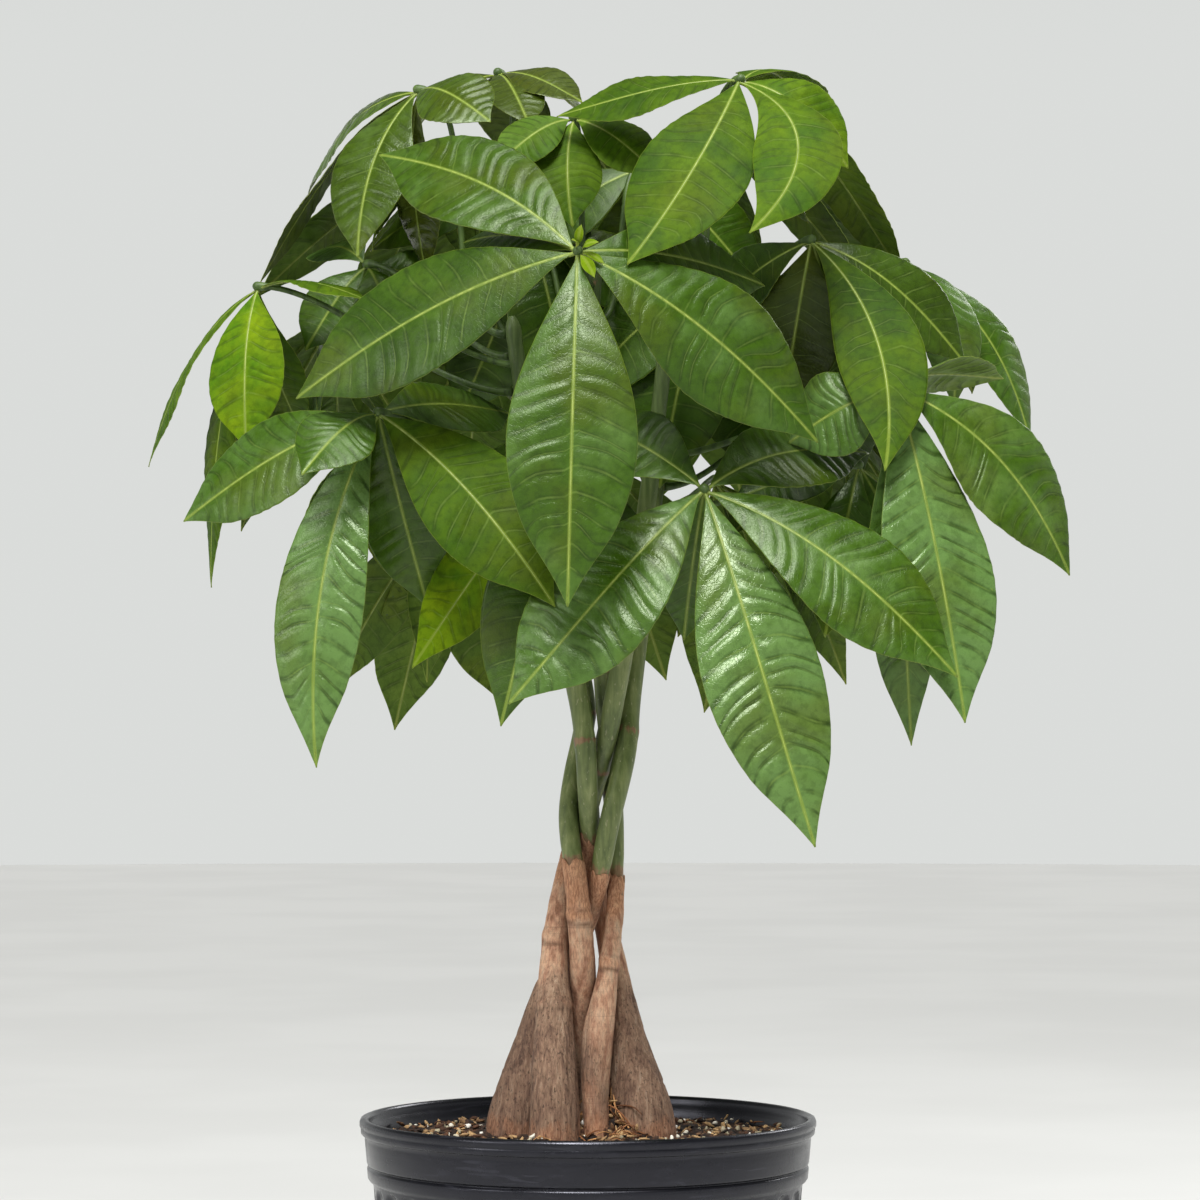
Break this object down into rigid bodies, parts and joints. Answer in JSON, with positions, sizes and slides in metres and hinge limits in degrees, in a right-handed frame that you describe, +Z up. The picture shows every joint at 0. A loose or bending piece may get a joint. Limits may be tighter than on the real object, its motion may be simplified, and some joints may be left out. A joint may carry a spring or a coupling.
{
  "type": "potted money tree",
  "caption": "Potted house plant: plaited stems with grey-brown bark below and green skin above carry a dome of palmate leaves, in a round fluted black nursery pot filled with soil.",
  "frame": {"origin": "middle of the pot's flat base", "axes": "+Z up along the plant's height, +X to the right and -Y towards the camera as pictured"},
  "size_m": [0.5091, 0.4526, 0.8278],
  "materials": {
    "pot": "semi-matte black",
    "soil": "loose bark mix with white grains",
    "bark": "rough grey-brown bark",
    "green_stem": "smooth satin green skin",
    "leaf": "glossy green with sunk veins"
  },
  "bodies": {
    "root": {"pot": "pot", "soil": "soil", "stem_back_left_bark": "bark", "stem_back_left_green": "green_stem", "stem_front_left_bark": "bark", "stem_front_left_green": "green_stem", "stem_middle_bark": "bark", "stem_middle_green": "green_stem", "stem_right_bark": "bark", "stem_right_green": "green_stem", "stem_front_middle_bark": "bark", "stem_front_middle_green": "green_stem", "leaf_front_centre": "leaf", "leaf_top_right": "leaf", "leaf_low_centre": "leaf", "leaf_right": "leaf", "leaf_left": "leaf", "leaf_far_left": "leaf", "leaf_top_left": "leaf", "leaf_crown": "leaf", "leaf_crown_front": "leaf", "leaf_inner_right": "leaf", "leaf_far_right": "leaf", "leaf_inner_low": "leaf", "leaf_inner_side": "leaf", "leaf_inner_left": "leaf", "leaf_inner_back": "leaf", "leaf_inner_middle": "leaf", "leaf_inner_high": "leaf", "leaf_back_1": "leaf", "leaf_back_2": "leaf", "leaf_back_3": "leaf", "leaf_back_4": "leaf", "leaf_back_5": "leaf", "leaf_back_6": "leaf", "leaf_back_7": "leaf", "leaf_back_8": "leaf", "leaf_back_9": "leaf", "leaf_back_10": "leaf", "leaf_back_11": "leaf"}
  },
  "joints": []
}
